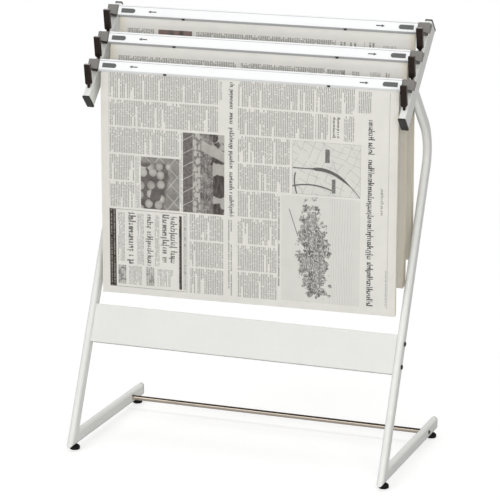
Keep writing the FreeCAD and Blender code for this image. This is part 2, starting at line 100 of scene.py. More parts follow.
class Signal:
    """A number made by a shader node. Arithmetic on it adds Math nodes."""

    def __init__(self, mat, socket):
        self.mat = mat
        self.socket = socket

    __add__, __radd__ = binary("ADD"), binary("ADD", swapped=True)
    __sub__, __rsub__ = binary("SUBTRACT"), binary("SUBTRACT", swapped=True)
    __mul__ = binary("MULTIPLY")
    __truediv__ = binary("DIVIDE")
    __or__ = binary("MAXIMUM")          # the larger of two, which joins two masks
    __abs__ = unary("ABSOLUTE")
    floor = unary("FLOOR")
    fract = unary("FRACT")
    sine = unary("SINE")
    root = unary("SQRT")

    def remap(self, low, high, at_low, at_high, kind="LINEAR"):
        """Clamped range: low..high becomes at_low..at_high."""
        node = self.mat.node("ShaderNodeMapRange", interpolation_type=kind)
        self.mat.put(node.inputs["Value"], self)
        names = ("From Min", "From Max", "To Min", "To Max")
        for name, x in zip(names, (low, high, at_low, at_high)):
            node.inputs[name].default_value = x
        return Signal(self.mat, node.outputs["Result"])

    def swing(self, at_low, at_high):
        """Spread the usual reach of a noise, 0.3..0.7, over at_low..at_high."""
        return self.remap(0.3, 0.7, at_low, at_high)

    def rise(self, low, high):
        """Smooth step from 0 at low to 1 at high."""
        return self.remap(low, high, 0.0, 1.0, "SMOOTHSTEP")

    def fall(self, low, high):
        """Smooth step from 1 at low to 0 at high."""
        return self.remap(low, high, 1.0, 0.0, "SMOOTHSTEP")

    def from_middle(self):
        """Distance from the middle of each whole unit: repeated lines lie where it is small."""
        return abs(self.fract() - 0.5)


class Nodes:
    """The emptied node tree of a material or a world."""

    def __init__(self, owner):
        owner.use_nodes = True
        self.tree = owner.node_tree
        self.tree.nodes.clear()

    def node(self, kind, **settings):
        node = self.tree.nodes.new(kind)
        for name, x in settings.items():
            setattr(node, name, x)
        return node

    def put(self, socket, x):
        """Link x to the socket, or set it as the socket's value."""
        if isinstance(x, Signal):
            x = x.socket
        if isinstance(x, bpy.types.NodeSocket):
            self.tree.links.new(x, socket)
        else:
            socket.default_value = x

    def filled(self, kind, *inputs, **settings):
        """A node with its first inputs filled in order."""
        node = self.node(kind, **settings)
        for socket, x in zip(node.inputs, inputs):
            self.put(socket, x)
        return node

    def mix_shader(self, factor, under, over):
        return self.filled("ShaderNodeMixShader", factor, under, over).outputs[0]


class Mat(Nodes):
    """A procedural material around one Principled shader. Subclasses set its texture place."""

    def __init__(self, name):
        self.material = bpy.data.materials.new(name)
        super().__init__(self.material)
        self.output = self.node("ShaderNodeOutputMaterial")
        self.shader = self.node("ShaderNodeBsdfPrincipled")
        self.put(self.output.inputs[0], self.shader.outputs[0])

    def set(self, **values):
        for name, x in values.items():
            self.put(self.shader.inputs[name.replace("_", " ")], x)

    def math(self, operation, *operands, clamp=False):
        node = self.filled("ShaderNodeMath", *operands, operation=operation, use_clamp=clamp)
        return Signal(self, node.outputs[0])

    def value(self, kind, output):
        return Signal(self, self.node(kind).outputs[output])

    def split(self, vector):
        node = self.filled("ShaderNodeSeparateXYZ", vector)
        return [Signal(self, socket) for socket in node.outputs]

    def vector(self, x, y, z):
        return self.filled("ShaderNodeCombineXYZ", x, y, z).outputs[0]

    def scaled(self, vector, factors):
        node = self.filled("ShaderNodeVectorMath", vector, factors, operation="MULTIPLY")
        return node.outputs["Vector"]

    def noise(self, scale=1.0, detail=2.0, rough=0.5, stretch=None, at=None):
        """Noise at the texture place, or at another vector, scaled by axis where stretched."""
        place = at or self.place
        node = self.node("ShaderNodeTexNoise")
        self.put(node.inputs["Vector"], self.scaled(place, stretch) if stretch else place)
        self.put(node.inputs["Scale"], scale)
        self.put(node.inputs["Detail"], detail)
        self.put(node.inputs["Roughness"], rough)
        return Signal(self, node.outputs["Fac"])

    def white(self, x, y, z):
        node = self.node("ShaderNodeTexWhiteNoise")
        self.put(node.inputs["Vector"], self.vector(x, y, z))
        return Signal(self, node.outputs["Value"])

    def cells(self, place, scale=1.0, scatter=1.0, dimensions="3D"):
        """Distance to the nearest of a field of scattered points."""
        node = self.node("ShaderNodeTexVoronoi", voronoi_dimensions=dimensions)
        self.put(node.inputs["Vector"], place)
        self.put(node.inputs["Scale"], scale)
        self.put(node.inputs["Randomness"], scatter)
        return Signal(self, node.outputs["Distance"])

    def mix(self, amount, under, over):
        node = self.node("ShaderNodeMix", data_type="RGBA")
        for index, x in ((0, amount), (6, under), (7, over)):
            self.put(node.inputs[index], x)
        return node.outputs[2]

    def shade(self, colour, factor):
        """The colour times a signal."""
        grey = self.filled("ShaderNodeCombineColor", factor, factor, factor).outputs[0]
        node = self.node("ShaderNodeMix", data_type="RGBA", blend_type="MULTIPLY")
        for index, x in ((0, 1.0), (6, colour), (7, grey)):
            self.put(node.inputs[index], x)
        return node.outputs[2]

    def bump(self, height, strength, distance=0.00012, normal=None):
        node = self.node("ShaderNodeBump")
        node.inputs["Strength"].default_value = strength
        node.inputs["Distance"].default_value = distance
        self.put(node.inputs["Height"], height)
        if normal is not None:
            self.put(node.inputs["Normal"], normal)
        return node.outputs["Normal"]

    def rounded(self, radius):
        """The normal, rounded over sharp edges."""
        bevel = self.node("ShaderNodeBevel", samples=6)
        bevel.inputs["Radius"].default_value = radius
        return bevel.outputs[0]

    def edge(self, radius=0.0005):
        """A mask that is 1 on a sharp edge, and the rounded normal."""
        rounded = self.rounded(radius)
        flat = self.node("ShaderNodeNewGeometry").outputs["Normal"]
        dot = self.filled("ShaderNodeVectorMath", rounded, flat, operation="DOT_PRODUCT")
        return (1.0 - Signal(self, dot.outputs["Value"])).rise(0.01, 0.20), rounded


class Solid(Mat):
    """A material placed in object space, in mm, so its grain rides with the piece."""

    def __init__(self, name):
        super().__init__(name)
        coordinates = self.node("ShaderNodeTexCoord")
        self.place = self.scaled(coordinates.outputs["Object"], (1000.0, 1000.0, 1000.0))


# ------------------------------------------------------------- hard materials
def powder(name, colour, rough, grain=1.0, scuff=0.5):
    """Powder coat with worn edges, smudges low down and an orange-peel surface."""
    m = Solid(name)
    height = m.split(m.place)[2]
    broad = m.noise(scale=0.012, detail=3.0, rough=0.55)
    mottle = m.noise(scale=0.16, detail=4.0, rough=0.6)
    coat = m.shade(srgb(*colour), broad.swing(0.985, 1.012) + mottle.swing(-0.010, 0.010))
    edge, rounded = m.edge(radius=0.0007)
    wear = edge * m.noise(scale=0.35, detail=4.0, rough=0.65).rise(0.50, 0.66)
    coat = m.mix(wear * 0.40, coat, srgb(176, 174, 168))
    # thin handling smudges, more of them low down
    low = height.remap(0.0, 220.0, 1.0, 0.22)
    streak = m.noise(stretch=(0.5, 0.5, 0.07), detail=5.0, rough=0.7)
    smudge = streak.rise(0.63, 0.78) * low * (0.16 * scuff)
    coat = m.mix(smudge, coat, srgb(150, 146, 138))
    # painted shade: the coat is darkened where the surface turns away from the view
    facing = m.value("ShaderNodeLayerWeight", "Facing")
    coat = m.mix(facing.rise(0.50, 1.0) * 0.46, coat, srgb(118, 116, 112))
    peel = m.noise(scale=1.15)
    fine = m.noise(scale=4.2)
    m.set(Base_Color=coat,
          Roughness=mottle.swing(rough - 0.05, rough + 0.06) + wear * 0.12,
          Normal=m.bump(peel * 1.0 + fine * 0.35, strength=0.16 * grain, normal=rounded),
          Specular_IOR_Level=0.42, Coat_Weight=0.10, Coat_Roughness=0.25)
    return m.material


def plastic(name, colour, rough, grain, grain_size, edge_colour, variation, specular=0.5):
    """Grained plastic or paint with paler edges."""
    m = Solid(name)
    mottle = m.noise(scale=0.22, detail=4.0, rough=0.6)
    fine = m.noise(scale=grain_size, detail=3.0, rough=0.6)
    pebble = m.cells(m.place, scale=grain_size * 1.3)
    tone = mottle.swing(1.0 - variation, 1.0 + variation)
    tone = tone + fine.swing(-variation * 0.7, variation * 0.7)
    edge, rounded = m.edge()
    base = m.mix(edge * 0.45, m.shade(srgb(*colour), tone), srgb(*edge_colour))
    m.set(Base_Color=base, Roughness=mottle.swing(rough - 0.05, rough + 0.07),
          Normal=m.bump(fine + pebble * 0.5, strength=0.22 * grain, normal=rounded),
          Specular_IOR_Level=specular)
    return m.material


def metal(name, colour, rough, along=0, brushed=1.0, anisotropic=0.5, dirt=(120, 110, 98),
          painted_ceiling_reflection=False):
    """Brushed metal. along is the index of the axis the brushing follows."""
    m = Solid(name)
    line_stretch = [1.6, 1.6, 1.6]
    line_stretch[along] = 0.02
    line = m.noise(stretch=line_stretch, detail=5.0, rough=0.7)
    hair_stretch = [5.0, 5.0, 5.0]
    hair_stretch[along] = 0.06
    hair = m.noise(stretch=hair_stretch, detail=3.0, rough=0.6)
    mottle = m.noise(scale=0.05, detail=4.0, rough=0.6)
    base = m.shade(srgb(*colour), line.swing(0.95, 1.05) + mottle.swing(-0.04, 0.04))
    base = m.mix(mottle.rise(0.58, 0.75) * 0.18, base, srgb(*dirt))
    if painted_ceiling_reflection:
        # painted reflection: a soft-edged dark band on the upper side stands in for the mirrored
        # dark ceiling
        facing_up = m.split(m.node("ShaderNodeNewGeometry").outputs["Normal"])[2]
        wobble = m.noise(stretch=(0.02, 1.0, 1.0), detail=3.0, rough=0.6).swing(-0.05, 0.05)
        band = (facing_up + wobble).rise(0.42, 0.72)
        base = m.mix(band * 0.86, base, srgb(62, 52, 43))
    m.set(Base_Color=base, Metallic=1.0, Anisotropic=anisotropic,
          Roughness=hair.swing(rough - 0.05, rough + 0.08) + mottle.remap(0.4, 0.7, 0.0, 0.05),
          Normal=m.bump(line + hair, strength=0.10 * brushed, distance=0.00008,
                        normal=m.rounded(radius=0.0004)))
    return m.material


def cradle_plastic(name):
    """Glossy brown-black moulded plastic."""
    m = Solid(name)
    mottle = m.noise(scale=0.12, detail=4.0, rough=0.6)
    flow = m.noise(stretch=(1.2, 0.15, 0.08), detail=3.0, rough=0.6)
    fine = m.noise(scale=2.6, detail=3.0, rough=0.6)
    base = m.shade(srgb(27, 18, 14), mottle.swing(0.85, 1.15) + flow.swing(-0.1, 0.1))
    edge, rounded = m.edge()
    m.set(Base_Color=m.mix(edge * 0.22, base, srgb(84, 72, 66)),
          Roughness=mottle.swing(0.20, 0.30),
          Normal=m.bump(flow * 0.6 + fine, strength=0.12, normal=rounded),
          Specular_IOR_Level=0.40, Specular_Tint=(1.0, 0.84, 0.76, 1.0))
    return m.material


ARROW_UP = 7.8              # height of the arrow's middle on the bar face
ARROW_TIP = 218.5           # distance of its tip from the middle of the bar
ARROW_SHAFT_MIDDLE = 210.5
GROOVE_UP = 15.9


def bar_lacquer(name, origin_y, origin_z, under_shadow):
    """White lacquered extrusion with a plain outward arrow near each end of its face."""
    m = Solid(name)
    x, y, z = m.split(m.place)
    up = (y - origin_y) * UP_Y + (z - origin_z) * UP_Z
    deep = (y - origin_y) * IN_Y + (z - origin_z) * IN_Z
    out = abs(x)
    broad = m.noise(scale=0.010, detail=3.0, rough=0.55)
    line = m.noise(stretch=(0.012, 1.5, 1.5), detail=4.0, rough=0.65)
    fine = m.noise(scale=2.4)
    tone = broad.swing(0.985, 1.01) + line.swing(-0.010, 0.010)
    base = m.shade(srgb(248, 249, 250), tone)
    edge, rounded = m.edge()
    worn = edge * m.noise(scale=0.25, detail=4.0, rough=0.65).rise(0.42, 0.62)
    base = m.mix(worn * 0.22, base, srgb(186, 188, 190))
    # painted shade in the drawn groove and on the lip under the face, and faint soiled patches
    # all over
    groove = abs(up - GROOVE_UP).fall(0.30, 0.75)
    base = m.mix(groove * 0.70, base, srgb(176, 178, 181))
    # painted shade on the lip under the face, stronger on bars 2 and 3
    base = m.mix(up.fall(-0.35, 0.05) * under_shadow, base, srgb(96, 97, 99))
    grip = m.noise(stretch=(0.03, 0.3, 0.3), detail=4.0, rough=0.7).rise(0.56, 0.74)
    base = m.mix(grip * 0.05, base, srgb(150, 150, 148))
    # the arrow, printed on the face only
    face = deep.fall(0.3, 0.5)
    shaft = abs(out - ARROW_SHAFT_MIDDLE).fall(7.3, 7.6) * abs(up - ARROW_UP).fall(0.90, 1.15)
    behind_tip = ARROW_TIP - out
    head = behind_tip.rise(-0.1, 0.1) * behind_tip.fall(5.1, 5.4)
    head = head * (behind_tip * 0.52 - abs(up - ARROW_UP)).rise(-0.15, 0.10)
    base = m.mix((shaft | head) * (face * 0.95), base, srgb(52, 53, 55))
    m.set(Base_Color=base, Roughness=line.swing(0.26, 0.36),
          Normal=m.bump(line + fine * 0.5, strength=0.09, distance=0.0001, normal=rounded),
          Specular_IOR_Level=0.45, Coat_Weight=0.15)
    return m.material


def button_plastic(name):
    """Speckled grey plastic."""
    m = Solid(name)
    fine = m.noise(scale=1.8, detail=3.0, rough=0.7)
    speck = m.noise(scale=1.1).rise(0.56, 0.66)
    base = m.shade(srgb(98, 100, 100), fine.swing(0.88, 1.12))
    base = m.mix(speck * 0.28, base, srgb(140, 142, 142))
    edge, rounded = m.edge(radius=0.0004)
    m.set(Base_Color=m.mix(edge * 0.45, base, srgb(138, 139, 138)),
          Roughness=fine.swing(0.46, 0.58),
          Normal=m.bump(fine, strength=0.25, normal=rounded))
    return m.material


def rubber(name, colour):
    """Dusty rubber."""
    m = Solid(name)
    fine = m.noise(scale=1.4, detail=4.0, rough=0.7)
    dust = m.noise(scale=0.3, detail=4.0, rough=0.6).rise(0.5, 0.72)
    base = m.shade(srgb(*colour), fine.swing(0.85, 1.15))
    base = m.mix(dust * 0.10, base, srgb(92, 90, 86))
    edge, rounded = m.edge()
    m.set(Base_Color=m.mix(edge * 0.3, base, srgb(70, 69, 67)),
          Roughness=fine.swing(0.55, 0.72),
          Normal=m.bump(fine, strength=0.3, distance=0.00015, normal=rounded),
          Specular_IOR_Level=0.25)
    return m.material


FINISH = {
    "white_coat": powder("white_coat_finish", (236, 237, 233), rough=0.38),
    "panel_coat": powder("panel_coat_finish", (233, 234, 230), rough=0.46, grain=1.2,
                         scuff=0.35),
    "dark_plug": plastic("dark_plug_finish", (74, 73, 72), rough=0.46, grain=0.9,
                         grain_size=1.5, edge_colour=(118, 117, 115), variation=0.06),
    "black_cap": plastic("black_cap_finish", (39, 39, 37), rough=0.50, grain=1.2,
                         grain_size=1.9, edge_colour=(84, 84, 80), variation=0.10),
    "black_steel": plastic("black_bolt_finish", (24, 24, 25), rough=0.36, grain=0.5,
                           grain_size=2.2, edge_colour=(70, 70, 70), variation=0.10,
                           specular=0.6),
    "zinc_steel": metal("zinc_finish", (196, 198, 200), rough=0.34, along=2, brushed=0.8,
                        anisotropic=0.2),
    "rod_steel": metal("rod_finish", (200, 189, 176), rough=0.15, brushed=0.15,
                       anisotropic=0.2, painted_ceiling_reflection=True),
    "black_cradle": cradle_plastic("black_cradle_finish"),
    "black_foot": rubber("black_foot_finish", (7, 7, 7)),
    "jaw_aluminium": metal("jaw_aluminium_finish", (205, 206, 208), rough=0.36, brushed=1.2,
                           dirt=(150, 150, 148)),
    "pin_steel": metal("pin_finish", (190, 190, 192), rough=0.25, brushed=0.5,
                       anisotropic=0.4),
    "grip_rubber": rubber("grip_rubber_finish", (52, 53, 54)),
    "block_grey": plastic("block_grey_finish", (129, 126, 122), rough=0.52, grain=1.3,
                          grain_size=1.7, edge_colour=(160, 158, 153), variation=0.05),
    "button_grey": button_plastic("button_grey_finish"),
}
for k in HOLDERS:
    FINISH["bar_%d" % k] = bar_lacquer("bar_white_finish_%d" % k, *ORIGIN[k],
                                       under_shadow=0.24 if k == 1 else 0.66)


def dress_pieces():
    """Give each CAD piece the finish of its slot. The newspapers are replaced later."""
    for name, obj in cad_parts.items():
        slots = obj.data.materials
        slot = slots[0].name.split(".")[0] if slots else "white_coat"
        if slot == "newsprint":
            continue
        if slot == "bar_white":
            slot = "bar_" + name.split("_")[1]
        slots.clear()
        slots.append(FINISH[slot])


dress_pieces()

# ------------------------------------------------------------ paper materials
# On a page x runs from its left edge and z down from the lip of the bar, both in mm.
BAND_PITCH = 48.2           # one text column, which runs across the hanging page as a band
PAGE_WIDTH = 546.0
PAPER = (242, 240, 234)
INK = (58, 55, 54)
# text kind: (start of the first band, offset of a band's first print)
BAND_START = {"text": (0.0, -1.5), "text_b": (18.0, 0.0)}


class Page(Mat):
    """Printed paper. Its 'page' attribute holds x and z on the page, and the leaf number."""

    def __init__(self, name):
        super().__init__(name)
        attribute = self.node("ShaderNodeAttribute", attribute_name="page")
        self.x, self.z, self.leaf = self.split(attribute.outputs["Vector"])
        self.place = self.vector(self.x, self.z, self.leaf * 13.7)
        self.fibre = self.noise(stretch=(1.6, 0.7, 1.0), detail=4.0, rough=0.7)

    def paper(self):
        """The colour of the bare sheet."""
        cloud = self.noise(scale=0.018, detail=3.0, rough=0.55)
        tone = self.fibre.swing(0.972, 1.028) + cloud.swing(-0.022, 0.022)
        sheet = self.shade(srgb(*PAPER), tone)
        # the ghost of the print on the other side of the sheet
        ghost = ((self.x + 1.1) / 3.3).from_middle().fall(0.2, 0.35)
        ghost = ghost * self.noise(scale=0.05).rise(0.45, 0.6)
        sheet = self.mix(ghost * 0.030, sheet, srgb(120, 116, 110))
        # yellowing towards the side edges; on the inner leaves and on newspapers 2 and 3 it is
        # much stronger, which is painted warm bounce light in the shade between the sheets
        from_edge = self.math("MINIMUM", self.x, PAGE_WIDTH - self.x)
        inner = self.leaf.rise(0.2, 0.4)
        yellowing_and_bounce_tint = from_edge.fall(0.0, 16.0) * (0.12 + inner * 0.45)
        return self.mix(yellowing_and_bounce_tint, sheet, srgb(236, 226, 202))

    def finish(self, ink=None, amount=1.0, ink_colour=INK, base=None):
        """Print the ink on the base, which is bare paper unless one is given."""
        base = base or self.paper()
        if ink is not None:
            base = self.mix(ink * amount, base, srgb(*ink_colour))
        wrinkle = self.noise(stretch=(0.05, 0.022, 1.0), detail=3.0, rough=0.6)
        self.set(Base_Color=base, Roughness=0.82,
                 Normal=self.bump(self.fibre * 0.05 + wrinkle, strength=0.20, distance=0.0012),
                 Specular_IOR_Level=0.22, Sheen_Weight=0.06, Sheen_Roughness=0.6)
        # thin newsprint lets some light through
        through = self.filled("ShaderNodeBsdfTranslucent", base).outputs[0]
        mixed = self.mix_shader(0.12, self.shader.outputs[0], through)
        self.put(self.output.inputs[0], mixed)
        return self.material

    def halftone(self, pitch=0.95):
        per_mm = 2 * math.pi / pitch / 1.414
        rising = (self.x + self.z) * per_mm
        falling = (self.x - self.z) * per_mm
        return rising.sine() * falling.sine() * 0.5

    def text(self, pitch=3.3, weight=0.25, gap=0.37, start=0.0):
        """Body type too small to read: strokes along z, stacked along x, broken into words."""
        lines = self.x / pitch
        line, across = lines.floor(), lines.fract()
        bands = (self.z - (start - 1.5)) / BAND_PITCH
        band, along = bands.floor(), bands.fract() * BAND_PITCH
        stroke = abs(across - 0.46).fall(weight - 0.06, weight + 0.14)
        words = self.noise(at=self.vector(line * 7.31, self.z * 0.42, band * 3.7), detail=0.0)
        word = words.remap(gap - 0.10, gap + 0.01, 0.12, 1.0)
        letters = self.noise(at=self.vector(self.x * 1.3, self.z * 1.1, self.leaf), rough=0.6)
        letter = letters.remap(0.34, 0.62, 0.42, 1.0)
        # some lines end short, and some are indented
        short = self.white(line, band, 4.0).rise(0.86, 0.861)
        end = (1.0 - short) * 200.0 + (self.white(line, band, 9.0) * 34.0 + 6.0)
        kept = (end - along).rise(-0.5, 0.5)
        indent = self.white(line, band, 2.0).rise(0.84, 0.841) * along.fall(4.6, 5.2)
        return stroke * word * (letter * kept * (1.0 - indent))

    def display(self, x0, x1, step, seed, skip, weight):
        """Large type as rhythm only: uneven stems with random patches between them."""
        rise = (self.x - x0) / (x1 - x0)
        stems = self.z / (step * 0.5)
        stem, along = stems.floor(), stems.fract()
        tall, wide, low, shift = [self.white(stem, seed, float(i)) for i in range(4)]
        half = (0.17 + wide.rise(0.45, 0.46) * 0.10) * weight
        ink = (half - abs(along - (0.44 + shift * 0.12))).rise(-0.04, 0.04)
        top = 0.60 + tall.rise(0.76, 0.77) * 0.36
        foot = 0.05 - low.rise(0.88, 0.89) * 0.24
        ink = ink * ((rise - foot).rise(-0.02, 0.03) * (top - rise).rise(-0.02, 0.03))
        patch = self.noise(at=self.vector(rise * 3.4, stems * 1.25, seed), detail=1.0)
        patch = patch.rise(0.52, 0.57) * (rise.rise(0.02, 0.08) * rise.fall(0.58, 0.64))
        shown = self.white(stem, seed, 11.0).rise(skip, skip + 0.01)
        blot = self.noise(scale=1.4, rough=0.6).remap(0.3, 0.55, 0.78, 1.0)
        return (ink | patch) * shown * blot


def text_page(name, amount, **type_settings):
    page = Page(name)
    return page.finish(page.text(**type_settings), amount)


def display_page(name, amount, rows, ink_colour=INK):
    """Rows of large type, each (x0, x1, step, seed, share of gaps, stem weight)."""
    page = Page(name)
    inks = [page.display(*row) for row in rows]
    while len(inks) > 1:
        inks = [first | second for first, second in zip(inks[::2], inks[1::2])]
    return page.finish(inks[0], amount, ink_colour)


def rule_paper():
    page = Page("paper_rule")
    worn = page.noise(scale=0.8, detail=3.0, rough=0.6).remap(0.3, 0.6, 0.75, 1.0)
    return page.finish(worn, amount=0.62)


def band_paper():
    """Pale specks of type on a dark ground."""
    page = Page("paper_band")
    specks = page.text(pitch=5.2, weight=0.16, gap=0.50) * 0.65
    cloud = page.noise(scale=0.05, detail=3.0, rough=0.6).swing(0.0, 0.35)
    dark = page.mix(cloud, srgb(62, 54, 50), srgb(96, 88, 82))
    return page.finish(base=page.mix(specks, dark, srgb(205, 200, 192)))


def tint_paper():
    """Type on a blotched grey ground."""
    page = Page("paper_tint")
    ground = page.mix(0.34, page.paper(), srgb(140, 140, 136))
    blotch = page.noise(scale=0.10, detail=3.0, rough=0.6).rise(0.50, 0.60)
    ground = page.mix(blotch * 0.6, ground, srgb(104, 100, 96))
    ink = page.text(pitch=4.2, weight=0.20, gap=0.47)
    return page.finish(ink, amount=0.5, base=ground)


def pebble_picture():
    """Pale pebbles beside a ground ruled with two leaning families of lines."""
    page = Page("paper_picture_a")
    x, z = page.x, page.z
    flat = page.vector(x, z, 0.0)
    distance = page.cells(page.scaled(flat, (0.056, 0.053, 1.0)), scatter=0.55,
                          dimensions="2D")
    tone = page.noise(scale=0.05, detail=4.0, rough=0.6)
    zone = (x + (z - 190.0) * 0.18 - 126.0).fall(-5.0, 5.0) * z.rise(150.0, 158.0)
    present = page.noise(at=flat, stretch=(0.030, 0.026, 1.0), detail=1.0).rise(0.40, 0.43)
    disc = distance.fall(0.39, 0.43) * present * zone
    ball = page.noise(at=flat, stretch=(0.045, 0.045, 1.0), detail=1.0)
    ball = ball.remap(0.35, 0.65, 0.62, 0.96) - distance * distance * 1.6
    falling = ((x + z * 0.85) / 31.0).from_middle()
    rising = ((x - z * 1.05) / 27.0).from_middle()
    line = falling.fall(0.025, 0.045) | rising.fall(0.025, 0.045)
    ground = tone.swing(0.30, 0.56) + line * 0.38
    deep = tone.swing(0.05, 0.26)
    light = ground * (1.0 - zone) + deep * zone
    light = light * (1.0 - disc) + ball * disc
    light = page.math("ADD", light, page.halftone() * 0.08, clamp=True)
    return page.finish(base=page.mix(light, srgb(74, 66, 64), srgb(214, 211, 205)))


def strip_picture():
    """By rising x: a dark ruled strip, a pale strip, a mottled middle, big light and dark shapes.

    A pale slanting bar crosses the last two.
    """
    page = Page("paper_picture_b")
    x, z = page.x, page.z
    tone = page.noise(scale=0.06, detail=5.0, rough=0.65)
    speck = page.noise(scale=0.22, detail=3.0, rough=0.6)
    broad = page.noise(stretch=(0.020, 0.036, 1.0), detail=1.5)
    cross = ((z + x * 0.55) / 23.0).from_middle()
    strip = speck.swing(0.10, 0.34) + cross.fall(0.03, 0.055) * 0.45
    flat = page.vector(x, z, 0.0)
    cards = page.cells(page.scaled(flat, (0.13, 0.085, 1.0)), scatter=0.7, dimensions="2D")
    pale = 0.34 + (cards.fall(0.38, 0.46) | speck.rise(0.55, 0.60)) * 0.52
    streak = page.noise(stretch=(0.28, 0.06, 1.0), detail=3.0, rough=0.6)
    middle = speck.rise(0.55, 0.60) * 0.26 + streak.remap(0.35, 0.65, -0.10, 0.14)
    middle = tone.remap(0.35, 0.65, 0.10, 0.44) + middle
    shapes = (broad + (tone - 0.5) * 0.35).rise(0.47, 0.50) * 0.66
    shapes = streak.remap(0.35, 0.65, 0.0, 0.14) + shapes
    light = strip * x.fall(173.5, 174.5)
    light = light + pale * (x.rise(173.5, 174.5) * x.fall(186.0, 189.0))
    light = light + middle * (x.rise(186.0, 189.0) * x.fall(210.0, 213.0))
    light = light + shapes * x.rise(210.0, 213.0)
    wedge = abs(z - (117.0 + (x - 190.0) * 0.42)).fall(8.0, 10.5) * x.rise(187.0, 192.0)
    light = light * (1.0 - wedge) + wedge * tone.swing(0.62, 0.86)
    seam = abs(x - 174.0).fall(0.5, 0.9)
    light = page.math("ADD", light, seam * 0.35 + page.halftone() * 0.08, clamp=True)
    return page.finish(base=page.mix(light, srgb(72, 64, 62), srgb(214, 211, 205)))


# families of thin plot lines: share of x, share of z, spacing, noise seed
PLOT_LINES = ((1.0, 0.42, 17.0, 5.0), (-0.38, 1.0, 14.0, 7.0), (0.86, -0.60, 41.0, 9.0))


def plan_paper():
    """A pale plan: thin plot lines, three heavy lines and two plain tags."""
    page = Page("paper_plan")
    x, z = page.x, page.z
    ground = page.mix(0.15, page.paper(), srgb(168, 180, 172))
    sway = page.noise(scale=0.016, detail=1.0) * 26.0
    plots = None
    for x_share, z_share, spacing, seed in PLOT_LINES:
        line = ((x * x_share + z * z_share + sway) / spacing).from_middle()
        line = line.fall(0.20 / spacing, 0.55 / spacing)
        kept = page.noise(at=page.vector(x * 0.045, z * 0.045, seed), detail=1.0)
        line = line * kept.rise(0.42, 0.45)
        plots = line if plots is None else plots | line
    # the first heavy line bends away past x 405 and swells in its middle
    far = (x - 405.0) | 0.0
    bend = 143.0 + far * far * 0.0080
    half = 0.9 + x.rise(392.0, 402.0) * x.fall(446.0, 466.0) * 2.1
    bent = (half - abs(z - bend)).rise(-0.35, 0.15)
    offset = (x - 388.0) / 38.0
    bowl = 171.0 + offset * offset * 6.5
    bowed = abs(z - bowl).fall(1.05, 1.45) * x.fall(428.0, 431.0)
    snake = (z / 15.0).sine() * 4.5 + 366.0
    winding = abs(x - snake).fall(1.1, 1.5) * z.rise(150.0, 152.0)
    tag_a = abs(x - 421.0).fall(3.9, 4.2) * abs(z - 119.0).fall(11.6, 12.0)
    tag_b = abs(x - 432.5).fall(3.1, 3.4) * abs(z - 171.0).fall(12.0, 12.4)
    ground = page.mix(plots * 0.42, ground, srgb(112, 114, 112))
    blot = page.noise(stretch=(0.9, 0.5, 1.0), rough=0.6)
    tags = (tag_a | tag_b) * blot.remap(0.50, 0.62, 1.0, 0.55)
    ink = (bent | tags) | (bowed | winding)
    return page.finish(ink, amount=0.84, base=ground)


# thin lines of the engraving: x at z 280, lean, first z, last z
ENGRAVED_LINES = ((389.0, 0.10, 232.0, 330.0), (407.0, 0.02, 252.0, 352.0),
                  (374.0, 0.34, 214.0, 262.0))


def engraving_paper():
    """A lumpy stippled mass on a pale ground, with ripple lines beside it."""
    page = Page("paper_engraving")
    x, z = page.x, page.z
    ground = page.mix(0.12, page.paper(), srgb(150, 156, 150))
    # an oval that leans and widens with z, with a ragged edge
    oval_x = (x - (396.0 + (z - 286.0) * 0.06)) / (19.0 + (z - 196.0) * 0.095)
    oval_z = (z - 284.0) / 88.0
    oval = oval_x * oval_x + oval_z * oval_z
    ragged = page.noise(scale=0.065, detail=3.0, rough=0.65)
    mass = (oval + (ragged - 0.5) * 3.6).fall(0.80, 1.05)
    # stipple, hatching and dark accents inside it
    dots = page.cells(page.scaled(page.place, (0.46, 0.27, 1.0)), dimensions="2D")
    lump = page.noise(scale=0.16, detail=3.0, rough=0.6)
    blob = (dots + (lump - 0.5) * 2.1).fall(0.47, 0.60)
    grit = page.noise(stretch=(0.55, 0.30, 1.0), rough=0.6).rise(0.55, 0.62)
    blob = blob * (1.0 - grit * 0.55)
    depth = page.noise(stretch=(0.075, 0.040, 1.0), rough=0.6).remap(0.36, 0.60, 0.62, 1.0)
    accent = page.noise(stretch=(0.20, 0.12, 1.0), detail=3.0, rough=0.65).rise(0.57, 0.63)
    accent = accent * page.noise(scale=0.06, detail=1.0).rise(0.40, 0.50)
    hatch = ((x + z * 0.45 + lump * 9.0) / 3.1).from_middle().fall(0.12, 0.24)
    hatch = hatch * page.noise(scale=0.07, detail=1.0).rise(0.48, 0.56)
    blob = (blob * depth) | (hatch * 0.72) | accent
    wash = page.noise(scale=0.09, detail=3.0, rough=0.6).remap(0.35, 0.65, 0.04, 0.40)
    ink = mass * ((blob * 0.95) | wash)
    for middle_x, lean, first_z, last_z in ENGRAVED_LINES:
        line = abs(x - (middle_x + (z - 280.0) * lean)).fall(0.5, 1.0)
        line = line * (z.rise(first_z, first_z + 4.0) * z.fall(last_z, last_z + 4.0))
        ink = ink | (line * 0.8)
    sway = page.noise(stretch=(0.02, 0.012, 1.0)) * 3.2
    ripple = (x / 4.4 + sway).from_middle().fall(0.06, 0.13)
    ripple = ripple * (x.rise(422.0, 430.0) * x.fall(462.0, 476.0))
    ground = page.mix(ripple * 0.19, ground, srgb(110, 110, 108))
    return page.finish(ink, amount=0.90, ink_colour=(50, 45, 46), base=ground)


def dark_picture():
    """Broad dim patches under a paler cloud."""
    page = Page("paper_picture_dark")
    cloud = page.noise(scale=0.045, detail=4.0, rough=0.6)
    patch = page.noise(stretch=(0.035, 0.01, 1.0), detail=1.0).rise(0.45, 0.55)
    base = page.mix(patch, srgb(84, 80, 76), srgb(134, 112, 106))
    return page.finish(base=page.mix(cloud.swing(0.0, 0.35), base, srgb(170, 164, 158)))


# hills from far to near, as parts of the picture height: height, relief, noise scale, tone
HILLS = ((0.60, 0.34, 0.020, 0.50), (0.44, 0.36, 0.028, 0.34), (0.27, 0.30, 0.040, 0.20))


